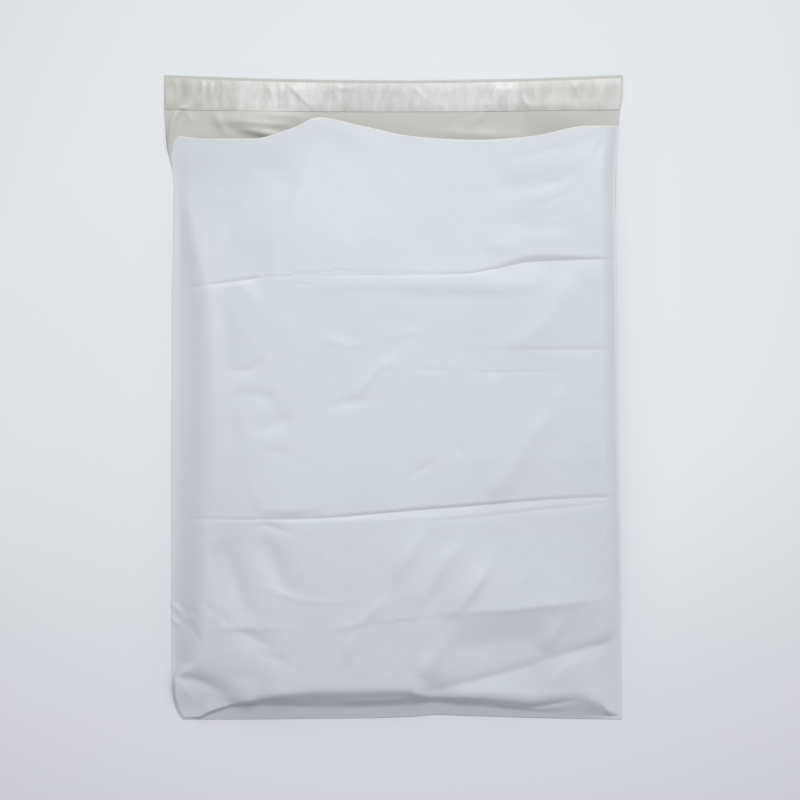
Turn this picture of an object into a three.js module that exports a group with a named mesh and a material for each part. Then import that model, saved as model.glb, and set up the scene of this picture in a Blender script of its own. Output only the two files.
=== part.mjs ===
import * as THREE from 'three';

// A poly mailer bag lying on its back, empty, with its mouth open and a little air inside.
// One film is folded at the bottom and welded down both long sides: the front panel ends in a
// free lip, and the longer back panel goes on as the flap, with the adhesive and its liner.
// Millimetres, +Z up, +Y from the bottom fold towards the flap, origin under the middle.

// Driving dimensions of the flat film.
const filmWidth = 368.3;
const bodyLength = 480;
const flapLength = 38;
const ply = 0.8;
const sealWidth = 5;
const endBow = 4.4;

// How the air stands the front panel up from the back one.
const plateauHeight = 13.5;
const domeHeight = 1.5;
const leftFlank = 27;
const rightFlank = 13;
const bottomRise = 9;
const mouthReach = 70;
const mouthEase = 1.5;
const leastGap = 0.4;

// The closure on the flap.
const linerWidth = 25;
const linerThickness = 0.6;
const linerSetback = 3.2;
const linerSideInset = 0.8;
const linerLowerBow = 1.8;
const adhesiveThickness = 0.3;
const adhesiveInset = 2.8;

// Creases left by storage: valleys right across the front panel. Each has its depth, half its
// width, and its distance from the bottom fold at places from the left edge, -1, to the right, 1.
const creaseHalfWidth = 9;
const lowerCrease = {
  depth: [[-1, 3.5], [0, 4], [1, 4.5]],
  fromFold: [[-1, 161.5], [-0.5, 161.7], [0.2, 170.4], [0.9, 179.2], [1, 179.4]],
};
const upperCrease = {
  depth: [[-1, 2], [-0.4, 2.2], [0.3, 2.6], [0.7, 4.2], [1, 3.4]],
  fromFold: [[-1, 345.5], [-0.65, 353], [-0.4, 359], [0.3, 357.6], [0.6, 366.5], [1, 369.6]],
};

// A fold that runs slantwise into the right-hand bottom corner, from and to the same kind of place.
const cornerFold = { depth: 3.2, halfWidth: 11, from: [0.25, 31], to: [0.97, 61], fadeIn: 0.33, fadeOut: 0.125 };

// Height inside the mouth under the lip, and how far the lip stands from the flap's root line.
const lipGap = [[-1, 7], [-0.83, 10], [-0.66, 10.5], [-0.48, 7], [-0.32, 3.6], [-0.14, 7], [0.1, 9.5],
  [0.36, 10.5], [0.62, 10], [0.84, 8], [1, 6]];
const lipOffset = [[-1, -27], [-0.945, -9], [-0.84, -11.3], [-0.62, -12], [-0.45, -5.2], [-0.32, 3.8],
  [-0.14, -2.8], [0.1, -11.4], [0.37, -14.1], [0.62, -11.4], [0.85, -3.3], [1, -2.6]];

// Film pressed flat above the bottom fold, before the bulge stands up from it.
const bottomMargin = [[-1, 2], [-0.9, 5], [-0.66, 12], [-0.3, 9.6], [0.15, 10.4], [0.55, 6.6],
  [0.84, 12.5], [1, 3]];

// The puffed panels draw the long edges in. Distance down from the flap's corners, and the draw.
const leftDraw = [[0, 0], [25, 0], [44, 1.3], [62, 3.2], [80, 6.9], [94, 7.8], [180, 6.4], [340, 5.7],
  [520, 5.6]];
const rightDraw = [[0, 0], [15, 0.3], [30, 2.3], [47, 3.5], [90, 6], [145, 5.2], [300, 3.7], [370, 2.3],
  [480, 1], [520, 0.6]];

// How finely the panels are faceted.
const panelColumns = 26;
const flankStations = [0.14, 0.36, 0.66, 1];
const riseStations = [0.22, 0.55, 1];
const creaseStations = [-1, -0.4, 0, 0.4, 1];
const lowerRows = 8;
const middleRows = 8;
const upperRows = 9;
const flapRows = 4;

const halfWidth = filmWidth / 2;
const topY = (bodyLength + flapLength) / 2;
const foldY = -topY;
const flapRootY = topY - flapLength;

// A smooth curve through hand-set points, which never swings past them, read at any place.
function curveThrough(points) {
  const rise = points.slice(1).map(([x, y], k) => (y - points[k][1]) / (x - points[k][0]));
  const slope = points.map((point, k) => {
    const before = rise[Math.max(k - 1, 0)];
    const after = rise[Math.min(k, rise.length - 1)];
    return before * after > 0 ? 2 * before * after / (before + after) : 0;
  });
  return (place) => {
    let k = 0;
    while (k < points.length - 2 && place > points[k + 1][0]) k += 1;
    const [x0, y0] = points[k];
    const [x1, y1] = points[k + 1];
    const span = x1 - x0;
    const t = THREE.MathUtils.clamp((place - x0) / span, 0, 1);
    const pull = (slope[k] * (1 - t) - slope[k + 1] * t) * span * t * (1 - t);
    return y0 + (y1 - y0) * t * t * (3 - 2 * t) + pull;
  };
}

const lipGapAt = curveThrough(lipGap);
const lipOffsetAt = curveThrough(lipOffset);
const marginAt = curveThrough(bottomMargin);
const leftDrawAt = curveThrough(leftDraw);
const rightDrawAt = curveThrough(rightDraw);
for (const crease of [lowerCrease, upperCrease]) {
  crease.depthAt = curveThrough(crease.depth);
  crease.fromFoldAt = curveThrough(crease.fromFold);
}

// Both cut ends bow inwards, because the middle of the bag is drawn up by the air.
const bowAt = (place) => 1 - place * place;
const foldLine = (place) => foldY + endBow * bowAt(place);
const lipLine = (place) => flapRootY + lipOffsetAt(place);
const flapEnd = (place) => topY - endBow * bowAt(place);
const leftEdge = (y) => -halfWidth + leftDrawAt(topY - y);
const rightEdge = (y) => halfWidth - rightDrawAt(topY - y);

const quarterSine = (t) => Math.sin(THREE.MathUtils.clamp(t, 0, 1) * Math.PI / 2);
const valley = (t) => (1 - Math.min(Math.abs(t), 1)) ** 2;

// Depth of the slantwise fold. It fades in from its inner end and fades out at the long edge.
function cornerFoldDepth(place, fromFold) {
  const [x0, y0] = cornerFold.from;
  const [x1, y1] = cornerFold.to;
  const along = THREE.MathUtils.clamp((place - x0) / (x1 - x0), 0, 1);
  const line = y0 + (y1 - y0) * along;
  const ends = quarterSine(along / cornerFold.fadeIn) * quarterSine((x1 - place) / cornerFold.fadeOut);
  return cornerFold.depth * ends * valley((fromFold - line) / cornerFold.halfWidth);
}

// Clear height between the two panels at a point of the bag.
function gapAt(place, x, y) {
  const fromFold = y - foldY;
  const leftRise = quarterSine((x - leftEdge(y) - sealWidth) / leftFlank);
  const rightRise = quarterSine((rightEdge(y) - sealWidth - x) / rightFlank);
  const footRise = quarterSine((y - foldLine(place) - marginAt(place)) / bottomRise);
  const mouthShare = quarterSine((lipLine(place) - y) / mouthReach) ** mouthEase;
  const crown = plateauHeight + domeHeight * bowAt(place);
  const full = THREE.MathUtils.lerp(lipGapAt(place), crown, mouthShare);
  let dip = cornerFoldDepth(place, fromFold);
  for (const crease of [lowerCrease, upperCrease]) {
    dip += crease.depthAt(place) * valley((fromFold - crease.fromFoldAt(place)) / creaseHalfWidth);
  }
  return Math.max((full - dip) * leftRise * rightRise * footRise, leastGap);
}

// Columns run across the bag. Each is tied to the left edge, the right edge or a share between.
function makeColumns() {
  const columns = [(left) => left, (left) => left + sealWidth];
  const leftFoot = (left) => left + sealWidth + leftFlank;
  const rightFoot = (right) => right - sealWidth - rightFlank;
  for (const share of flankStations) columns.push((left) => left + sealWidth + leftFlank * share);
  for (let k = 1; k < panelColumns; k += 1) {
    const share = k / panelColumns;
    columns.push((left, right) => THREE.MathUtils.lerp(leftFoot(left), rightFoot(right), share));
  }
  for (const share of [...flankStations].reverse()) {
    columns.push((left, right) => right - sealWidth - rightFlank * share);
  }
  columns.push((left, right) => right - sealWidth, (left, right) => right);
  return columns;
}

// Rows run up the bag from the fold to the lip, and follow the creases that they pass.
function makeRows() {
  const margin = (place) => foldLine(place) + marginAt(place);
  const rows = [foldLine, margin];
  for (const share of riseStations) rows.push((place) => margin(place) + bottomRise * share);
  const fill = (from, to, count) => {
    for (let k = 1; k < count; k += 1) {
      rows.push((place) => THREE.MathUtils.lerp(from(place), to(place), k / count));
    }
  };
  const beside = (crease, side) => (place) => foldY + crease.fromFoldAt(place) + side * creaseHalfWidth;
  fill(rows[rows.length - 1], beside(lowerCrease, -1), lowerRows);
  for (const side of creaseStations) rows.push(beside(lowerCrease, side));
  fill(beside(lowerCrease, 1), beside(upperCrease, -1), middleRows);
  for (const side of creaseStations) rows.push(beside(upperCrease, side));
  fill(beside(upperCrease, 1), lipLine, upperRows);
  rows.push(lipLine);
  return rows;
}

// The film as one closed solid: outer front, inner front, the floor of the pocket, which runs
// on as the flap's upper face, the underside, and the edges between them.
function makeBagGeometry() {
  const columns = makeColumns();
  const rows = makeRows();
  const lastColumn = columns.length - 1;
  const lip = rows.length - 1;
  const positions = [];
  const triangles = [];
  const addPoint = (x, y, z) => positions.push(x, y, z) / 3 - 1;
  const addQuad = (a, b, c, d) => triangles.push(a, b, c, a, c, d);

  const plan = rows.map((row) => columns.map((column) => {
    const place = THREE.MathUtils.clamp(column(-halfWidth, halfWidth) / halfWidth, -1, 1);
    const y = row(place);
    return { place, x: column(leftEdge(y), rightEdge(y)), y };
  }));
  const welded = (i, j) => i <= 1 || i >= lastColumn - 1 || j <= 1;
  const gap = plan.map((line, j) => line.map((p, i) => (welded(i, j) ? 0 : gapAt(p.place, p.x, p.y))));
  const outerFront = plan.map((line, j) => line.map((p, i) => addPoint(p.x, p.y, 2 * ply + gap[j][i])));
  const floor = plan.map((line, j) => line.map((p, i) => {
    const inMargin = i < 1 || i > lastColumn - 1 || j < 1;
    const onRim = welded(i, j) && !inMargin;
    return onRim || j === lip ? addPoint(p.x, p.y, ply) : null;
  }));
  const innerFront = plan.map((line, j) => line.map((p, i) => (
    welded(i, j) ? floor[j][i] : addPoint(p.x, p.y, ply + gap[j][i])
  )));

  for (let j = 0; j < lip; j += 1) {
    for (let i = 0; i < lastColumn; i += 1) {
      addQuad(outerFront[j][i], outerFront[j][i + 1], outerFront[j + 1][i + 1], outerFront[j + 1][i]);
      const inPocket = j >= 1 && i >= 1 && i < lastColumn - 1;
      if (inPocket) {
        addQuad(innerFront[j][i], innerFront[j + 1][i], innerFront[j + 1][i + 1], innerFront[j][i + 1]);
      }
    }
  }
  for (let i = 0; i < lastColumn; i += 1) {
    addQuad(outerFront[lip][i], outerFront[lip][i + 1], innerFront[lip][i + 1], innerFront[lip][i]);
  }

  // The flap's rim, from the lip's right-hand end round to its left-hand one.
  const rim = [];
  for (let k = 1; k <= flapRows; k += 1) {
    const y = THREE.MathUtils.lerp(lipLine(1), flapEnd(1), k / flapRows);
    rim.push([rightEdge(y), y]);
  }
  for (let i = lastColumn - 1; i > 0; i -= 1) {
    const { place } = plan[lip][i];
    rim.push([place * halfWidth, flapEnd(place)]);
  }
  for (let k = flapRows; k >= 1; k -= 1) {
    const y = THREE.MathUtils.lerp(lipLine(-1), flapEnd(-1), k / flapRows);
    rim.push([leftEdge(y), y]);
  }
  const rimTop = rim.map(([x, y]) => addPoint(x, y, ply));
  const rimUnder = rim.map(([x, y]) => addPoint(x, y, 0));

  // The underside's outline: bottom fold, right edge, flap, left edge.
  const under = plan.map((line, j) => line.map((p, i) => (
    j === 0 || i === 0 || i === lastColumn ? addPoint(p.x, p.y, 0) : null
  )));
  const foldEdge = under[0];
  const rightSide = under.slice(1).map((line) => line[lastColumn]);
  const leftSide = under.slice(1).map((line) => line[0]).reverse();
  addFlatFace([...foldEdge, ...rightSide, ...rimUnder, ...leftSide], positions, triangles, false);

  // The pocket's floor and the flap's upper face are one flat face.
  const pocketLeft = [];
  const pocketRight = [];
  for (let j = 1; j <= lip; j += 1) {
    pocketRight.push(floor[j][lastColumn - 1]);
    pocketLeft.unshift(floor[j][1]);
  }
  const pocketFoot = floor[1].slice(2, lastColumn - 1);
  addFlatFace([...pocketLeft.slice(-1), ...pocketFoot, ...pocketRight, floor[lip][lastColumn],
    ...rimTop, floor[lip][0], ...pocketLeft.slice(0, -1)], positions, triangles, true);

  // Edges: the bottom fold, the two long sides, and round the flap.
  for (let i = 0; i < lastColumn; i += 1) {
    addQuad(under[0][i], under[0][i + 1], outerFront[0][i + 1], outerFront[0][i]);
  }
  for (let j = 0; j < lip; j += 1) {
    const rightUpper = j + 1 === lip ? [floor[lip][lastColumn]] : [];
    const leftUpper = j + 1 === lip ? [floor[lip][0]] : [];
    addFan([under[j][lastColumn], under[j + 1][lastColumn], ...rightUpper,
      outerFront[j + 1][lastColumn], outerFront[j][lastColumn]], triangles);
    addFan([under[j][0], outerFront[j][0], outerFront[j + 1][0], ...leftUpper, under[j + 1][0]], triangles);
  }
  const upperLoop = [floor[lip][lastColumn], ...rimTop, floor[lip][0]];
  const lowerLoop = [under[lip][lastColumn], ...rimUnder, under[lip][0]];
  for (let k = 0; k < upperLoop.length - 1; k += 1) {
    addQuad(lowerLoop[k], lowerLoop[k + 1], upperLoop[k + 1], upperLoop[k]);
  }

  const geometry = new THREE.BufferGeometry();
  geometry.setAttribute('position', new THREE.Float32BufferAttribute(positions, 3));
  geometry.setIndex(triangles);
  geometry.computeVertexNormals();
  return geometry;
}

// A convex ring of points as a fan of triangles.
function addFan(ring, triangles) {
  for (let k = 1; k < ring.length - 1; k += 1) triangles.push(ring[0], ring[k], ring[k + 1]);
}

// A level face inside a ring of points that runs anticlockwise, seen from above.
function addFlatFace(ring, positions, triangles, facesUp) {
  const outline = ring.map((index) => new THREE.Vector2(positions[3 * index], positions[3 * index + 1]));
  for (const [a, b, c] of THREE.ShapeUtils.triangulateShape(outline, [])) {
    if (facesUp) triangles.push(ring[a], ring[b], ring[c]);
    else triangles.push(ring[a], ring[c], ring[b]);
  }
}

// A flat strip along the flap. Its upper edge follows the flap's end, its lower one is straighter.
function makeStripGeometry(inset, thickness) {
  const setback = linerSetback + inset;
  const width = linerWidth - 2 * inset;
  const upper = [];
  const lower = [];
  for (let k = 0; k <= panelColumns; k += 1) {
    const place = THREE.MathUtils.lerp(-1, 1, k / panelColumns);
    const upperY = flapEnd(place) - setback;
    const lowerY = topY - setback - width - linerLowerBow * bowAt(place);
    const across = (y) => THREE.MathUtils.lerp(leftEdge(y) + linerSideInset, rightEdge(y) - linerSideInset,
      (place + 1) / 2);
    upper.unshift(new THREE.Vector2(across(upperY), upperY));
    lower.push(new THREE.Vector2(across(lowerY), lowerY));
  }
  const outline = new THREE.Shape([...lower, ...upper]);
  return new THREE.ExtrudeGeometry(outline, { depth: thickness, bevelEnabled: false });
}

const filmMaterial = new THREE.MeshStandardMaterial({ color: 0xe6ebef, roughness: 0.42, metalness: 0 });
const adhesiveMaterial = new THREE.MeshStandardMaterial({ color: 0xd9d7cf, roughness: 0.3, metalness: 0 });
const linerMaterial = new THREE.MeshStandardMaterial({ color: 0xdadad6, roughness: 0.2, metalness: 0 });

function makePiece(name, geometry, material, z) {
  const mesh = new THREE.Mesh(geometry, material);
  mesh.name = name;
  mesh.position.z = z;
  return mesh;
}

const polyMailer = new THREE.Group();
polyMailer.add(makePiece('bag', makeBagGeometry(), filmMaterial, 0));
polyMailer.add(makePiece('adhesive_strip', makeStripGeometry(adhesiveInset, adhesiveThickness),
  adhesiveMaterial, ply));
polyMailer.add(makePiece('release_liner', makeStripGeometry(0, linerThickness), linerMaterial,
  ply + adhesiveThickness));

export default polyMailer;
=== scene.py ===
import math

import bmesh
import bpy
import numpy as np
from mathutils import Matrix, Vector, noise


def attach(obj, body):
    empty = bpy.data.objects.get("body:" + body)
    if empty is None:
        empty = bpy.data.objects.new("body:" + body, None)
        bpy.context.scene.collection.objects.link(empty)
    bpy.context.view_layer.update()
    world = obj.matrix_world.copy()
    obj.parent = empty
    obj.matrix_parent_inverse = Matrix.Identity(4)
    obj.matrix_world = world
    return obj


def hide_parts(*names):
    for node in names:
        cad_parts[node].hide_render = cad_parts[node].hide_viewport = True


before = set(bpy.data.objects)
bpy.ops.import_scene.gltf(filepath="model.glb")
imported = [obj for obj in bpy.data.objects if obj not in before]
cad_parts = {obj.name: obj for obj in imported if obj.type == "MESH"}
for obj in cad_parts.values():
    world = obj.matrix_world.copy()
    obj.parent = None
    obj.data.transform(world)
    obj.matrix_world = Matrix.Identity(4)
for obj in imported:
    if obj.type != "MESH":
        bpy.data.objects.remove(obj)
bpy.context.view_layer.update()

# The camera looks straight down on the bag, as a product photograph of a flat pack does. One
# 36 mm frame at 1.43 m through an 80 mm lens takes in 0.644 m of the table.
CAMERA_HEIGHT = 1.43
CAMERA_LENS = 80.0
CAMERA_OVER = (0.0052, -0.0022)

camera_data = bpy.data.cameras.new("overhead_camera")
camera_data.lens = CAMERA_LENS
camera_data.sensor_width = 36.0
camera_data.clip_start = 0.05
camera = bpy.data.objects.new("overhead_camera", camera_data)
camera.location = (*CAMERA_OVER, CAMERA_HEIGHT)
bpy.context.scene.collection.objects.link(camera)
bpy.context.scene.camera = camera


# The bag is one co-extruded polyethylene film, white outside and grey inside. It is folded at
# the bottom and welded down both long sides, and the longer back panel goes on as the flap. A
# little air stands the front panel up, and two storage folds cross it.
MM = 0.001
FILM_WIDTH = 368.3
BODY_LENGTH = 480.0
FLAP_LENGTH = 38.0
HALF_WIDTH = FILM_WIDTH / 2
TOP_Y = (BODY_LENGTH + FLAP_LENGTH) / 2
FLAP_ROOT_Y = TOP_Y - FLAP_LENGTH

# The flap's end bows in by FLAP_BOW at its middle. Real film is about 0.06 mm thick, and it is
# drawn at 0.15 mm, so that its cut edges show.
FLAP_BOW = 4.4
FILM_THICKNESS = 0.15

# The front panel's height over the back one, what a dome adds to it in the middle, and what it
# lacks towards the lower right. From the lip it takes MOUTH_REACH to stand at its full height.
PLATEAU_HEIGHT = 14.2
DOME_HEIGHT = 1.5
LOW_CORNER = 4.5
MOUTH_REACH = 120.0
MOUTH_EASE = 1.15


def curve_through(points):
    """A smooth curve through given points, which never swings past them, for arrays of places."""
    xs = np.array([p[0] for p in points], float)
    ys = np.array([p[1] for p in points], float)
    rise = np.diff(ys) / np.diff(xs)
    before = np.concatenate([rise[:1], rise])
    after = np.concatenate([rise, rise[-1:]])
    same_way = before * after > 0
    slope = np.where(same_way, 2 * before * after / np.where(same_way, before + after, 1), 0)

    def read(place):
        k = np.clip(np.searchsorted(xs, place) - 1, 0, len(xs) - 2)
        span = xs[k + 1] - xs[k]
        t = np.clip((place - xs[k]) / span, 0, 1)
        pull = (slope[k] * (1 - t) - slope[k + 1] * t) * span * t * (1 - t)
        return ys[k] + (ys[k + 1] - ys[k]) * t * t * (3 - 2 * t) + pull

    return read


# These curves run across the bag, from -1 at its left edge to 1 at its right one, and give
# millimetres. The lip has its gap over the back panel and its distance from the flap's root. The
# bottom has the bow of its fold line, the low margin above that line, the reach of the climb
# above the margin, and how far the panel sags just above it.
lip_gap_at = curve_through([(-1, 7), (-0.9, 10), (-0.8, 12), (-0.66, 12.3), (-0.48, 11.6), (-0.32, 9.4),
                            (-0.14, 10.4), (0.1, 11.6), (0.36, 12.3), (0.62, 12), (0.84, 10), (1, 7)])
lip_offset_at = curve_through([(-1, -27), (-0.945, -11.4), (-0.84, -13.6), (-0.62, -14.2), (-0.45, -6.6),
                               (-0.32, 2.7), (-0.14, -4.0), (0.1, -13), (0.37, -15.8), (0.62, -12.6),
                               (0.85, -4.2), (1, -3.4)])
fold_bow_at = curve_through([(-1, 0), (-0.67, 0.05), (-0.41, 0.65), (-0.2, 0.9), (0.05, 2.2), (0.164, 3.6),
                             (0.3, 2.9), (0.56, 1.5), (0.8, 0.5), (1, 0)])
bottom_margin_at = curve_through([(-1, 0.7), (-0.926, 0.8), (-0.847, 5.8), (-0.685, 12.6), (-0.593, 12.9),
                                  (-0.365, 9.7), (-0.278, 9.4), (0.05, 10.6), (0.164, 11.4), (0.243, 10.4),
                                  (0.335, 9.8), (0.4, 8.4), (0.479, 7.4), (0.558, 6.2), (0.637, 4.8),
                                  (0.794, 3.9), (0.864, 3.4), (0.943, 2.4), (1, 2)])
bottom_rise_at = curve_through([(-1, 1.2), (-0.685, 2.6), (-0.593, 5), (-0.54, 7), (-0.365, 13),
                                (-0.278, 13.6), (0.05, 11.8), (0.085, 8.8), (0.164, 4.5), (0.243, 5.8),
                                (0.335, 7), (0.4, 8.2), (0.479, 8.2), (0.558, 8.4), (0.637, 10.8),
                                (0.716, 13.7), (0.794, 16), (0.834, 15), (0.864, 13), (0.912, 9.5),
                                (0.943, 4.2), (1, 2)])
bottom_sag_at = curve_through([(-1, 7), (-0.926, 6.5), (-0.847, 4), (-0.685, 3), (-0.61, 4), (-0.5, 0),
                               (0.06, 0), (0.13, 3.5), (0.164, 5), (0.21, 3.5), (0.32, 0), (1, 0)])

# The two storage creases, in millimetres up from the bottom of the bag.
lower_crease_at = curve_through([(-1, 161.5), (-0.5, 161.7), (0.2, 170.4), (0.9, 179.2), (1, 179.4)])
upper_crease_at = curve_through([(-1, 345.5), (-0.65, 353), (-0.54, 355.6), (-0.48, 355.2), (-0.45, 357.2),
                                 (-0.4, 358.2), (-0.35, 357.8), (-0.32, 359.7), (-0.29, 358), (-0.26, 360.2),
                                 (-0.21, 359.4), (0.0, 359), (0.3, 357.6), (0.45, 361), (0.6, 366.5),
                                 (1, 369.6)])

# These run down the bag, in millimetres from the flap's end. Each long edge has how far the puff
# draws it in, the flat weld inside it, and the steep flank inside the weld. A flank makes a share
# of the panel's climb from its side, and the rest is spread over a longer reach.
left_draw_at = curve_through([(0, 0), (25, 0), (44, 1.3), (62, 3.2), (80, 6.9), (94, 7.8), (180, 6.4),
                              (340, 5.7), (480, 5.8), (498, 6.6), (508, 9), (514, 11.5), (518, 14.5)])
left_weld_at = curve_through([(0, 0), (60, 0.5), (74, 1), (100, 2.5), (125, 3.5), (160, 3.5), (200, 4),
                              (300, 3.5), (400, 1), (430, 0.5), (470, 1), (482, 0.5), (508, 0.15),
                              (520, 0.6)])
left_flank_at = curve_through([(0, 20), (84, 14), (102, 11), (125, 14), (150, 20), (175, 27), (240, 34),
                               (300, 32), (360, 29), (440, 28), (470, 22), (482, 7), (488, 2.4),
                               (508, 2.4), (520, 4)])
left_share_at = curve_through([(0, 0.1), (84, 0.08), (98, 0.12), (125, 0.28), (150, 0.38), (175, 0.45),
                               (240, 0.54), (300, 0.54), (400, 0.55), (466, 0.6), (482, 0.68),
                               (520, 0.6)])
left_reach_at = curve_through([(90, 138), (205, 88)])
right_draw_at = curve_through([(0, 0), (15, 0.3), (30, 2.3), (47, 3.5), (90, 6), (145, 5.2), (300, 3.7),
                               (370, 2.3), (480, 1), (520, 0.6)])
right_weld_at = curve_through([(0, 1.5), (60, 1.5), (120, 1.6), (430, 1.2), (470, 1.6), (520, 2.4)])
right_flank_at = curve_through([(0, 8), (60, 10), (120, 13), (300, 13.5), (440, 15.5), (462, 22), (485, 28),
                                (520, 28)])
RIGHT_SHARE = 0.9
RIGHT_REACH = 60.0


def fold_line(place):
    return -TOP_Y + fold_bow_at(place)


def flap_end(place):
    return TOP_Y - FLAP_BOW * (1 - place**2)


def lip_line(place):
    return FLAP_ROOT_Y + lip_offset_at(place)


def left_edge(y):
    return -HALF_WIDTH + left_draw_at(TOP_Y - y)


def right_edge(y):
    return HALF_WIDTH - right_draw_at(TOP_Y - y)


def quarter_sine(t):
    return np.sin(np.clip(t, 0, 1) * math.pi / 2)


def soft_step(t):
    t = np.clip(t, 0, 1)
    return t * t * (3 - 2 * t)


def firm_rise(t):
    """A rise from 0 to 1 that is almost straight, and turns over at its top like a creased edge."""
    turn = 0.07
    return np.clip(0.5 * (t + 1 - np.sqrt((t - 1) ** 2 + turn)), 0, 1)


# Columns stand close together on the weld and in a band inside it, where the panel climbs, and
# evenly over the rest. A row or column EDGE_STEP inside each edge keeps the edge's shading crisp.
EDGE_STEP = 0.15
WELD_BAND = 5.0
WELD_STEPS = (0.0, EDGE_STEP, 1.2, 2.5, 3.8, WELD_BAND)
LEFT_BAND = 27.0
LEFT_BAND_COLUMNS = 15
RIGHT_BAND = 17.0
RIGHT_BAND_COLUMNS = 9
PANEL_COLUMNS = 134


def make_columns():
    """Places across the film: an offset from the left edge, from the right edge, or between both."""
    share = []
    offset = []
    for step in WELD_STEPS:
        share.append(0.0)
        offset.append(step)
    for k in range(1, LEFT_BAND_COLUMNS):
        share.append(0.0)
        offset.append(WELD_BAND + LEFT_BAND * k / LEFT_BAND_COLUMNS)
    for k in range(PANEL_COLUMNS + 1):
        q = k / PANEL_COLUMNS
        share.append(q)
        offset.append((1 - q) * (WELD_BAND + LEFT_BAND) - q * (WELD_BAND + RIGHT_BAND))
    for k in range(RIGHT_BAND_COLUMNS - 1, 0, -1):
        share.append(1.0)
        offset.append(-(WELD_BAND + RIGHT_BAND * k / RIGHT_BAND_COLUMNS))
    for step in reversed(WELD_STEPS):
        share.append(1.0)
        offset.append(-step)
    return np.array(share), np.array(offset)


share, offset = make_columns()
place = np.clip(((share * 2 - 1) * HALF_WIDTH + offset) / HALF_WIDTH, -1, 1)


def rows_between(upper, lower, count):
    """Rows from one guide line down towards the next, without the last one."""
    return [upper + (lower - upper) * k / count for k in range(count)]


def spaced_rows(upper, lower, spacing):
    return rows_between(upper, lower, max(1, round(float(np.mean(upper - lower)) / spacing)))


# Rows crowd together where a line crosses the panel: the two storage creases, one light crease
# between them, the faint pressed line under that, and the bottom. The back panel needs rows only
# where the mouth shows it.
ROW_SPACING = 2.75
LOWER_ROW_SPACING = 1.62
BOTTOM_ROW_SPACING = 0.95
LIGHT_CREASE_Y = 37.9
FAINT_CREASE_Y = 20.6
FIRM_ABOVE = (6.6, 5.2, 3.9, 2.8, 1.9, 1.1, 0.5)
FIRM_BELOW = (0.5, 1.2, 2.1, 3.1, 4.2, 5.4, 6.4, 7.4, 8.4, 9.6)
MOUTH_VIEW = 24.0
lip = lip_line(place)
fold = fold_line(place)
foot = fold + bottom_margin_at(place)
shoulder = foot + bottom_rise_at(place)
lower_crease = -TOP_Y + lower_crease_at(place)
upper_crease = -TOP_Y + upper_crease_at(place)
front_rows = [lip, lip - EDGE_STEP]
band_start = lip - 0.8
for line, above, below in (
    (upper_crease, FIRM_ABOVE, FIRM_BELOW),
    (np.full(place.shape, LIGHT_CREASE_Y), (3.2, 1.8, 0.8), (0.8, 1.8, 3.4)),
    (np.full(place.shape, FAINT_CREASE_Y), (1.8, 1.1, 0.5), (0.5, 1.1, 1.8)),
    (lower_crease, FIRM_ABOVE, FIRM_BELOW),
):
    front_rows += spaced_rows(band_start, line + above[0], ROW_SPACING)
    front_rows += [line + step for step in above]
    front_rows += [line]
    front_rows += [line - step for step in below[:-1]]
    band_start = line - below[-1]
front_rows += spaced_rows(band_start, shoulder + 2, LOWER_ROW_SPACING)
front_rows += spaced_rows(shoulder + 2, foot, BOTTOM_ROW_SPACING)
front_rows += rows_between(foot, fold + 0.5, 5)
front_rows += [fold + 0.5, fold + EDGE_STEP, fold]
back_rows = [fold + EDGE_STEP]
back_rows += list(reversed(rows_between(lip - MOUTH_VIEW, fold, 8)))
back_rows += list(reversed(rows_between(lip, lip - MOUTH_VIEW, 8)))
back_rows += rows_between(lip, flap_end(place) - EDGE_STEP, 23)[1:]
back_rows += [flap_end(place) - EDGE_STEP, flap_end(place)]

front_y = np.array(front_rows)
back_y = np.array(back_rows)
front_x = (1 - share) * left_edge(front_y) + share * right_edge(front_y) + offset
back_x = (1 - share) * left_edge(back_y) + share * right_edge(back_y) + offset


def smooth_path(points, per_span=8):
    """A stroke's given points, (x, y, depth), joined by a smooth curve."""
    control = np.array(points, float)
    padded = np.vstack([2 * control[0] - control[1], control, 2 * control[-1] - control[-2]])
    path = []
    for k in range(len(control) - 1):
        p0, p1, p2, p3 = padded[k:k + 4]
        for step in range(per_span):
            t = step / per_span
            path.append(0.5 * (2 * p1 + (p2 - p0) * t + (2 * p0 - 5 * p1 + 4 * p2 - p3) * t**2
                               + (3 * p1 - p0 - 3 * p2 + p3) * t**3))
    path.append(control[-1])
    return np.array(path)


def stroke_relief(x, y, points, left_width, right_width, sharpness):
    """Depth that a fold pressed along a path takes out of the film. A ridge has a negative depth."""
    path = smooth_path(points)
    nearest = np.full(x.shape, 1e9)
    depth = np.zeros(x.shape)
    side = np.zeros(x.shape)
    for a, b in zip(path[:-1], path[1:]):
        run = b[:2] - a[:2]
        t = np.clip(((x - a[0]) * run[0] + (y - a[1]) * run[1]) / (run @ run), 0, 1)
        dx = x - a[0] - run[0] * t
        dy = y - a[1] - run[1] * t
        distance = np.hypot(dx, dy)
        closer = distance < nearest
        nearest = np.where(closer, distance, nearest)
        depth = np.where(closer, a[2] + (b[2] - a[2]) * t, depth)
        side = np.where(closer, run[0] * dy - run[1] * dx, side)
    width = np.where(side > 0, left_width, right_width)
    return depth * np.exp(-((nearest / width) ** sharpness))


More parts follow.
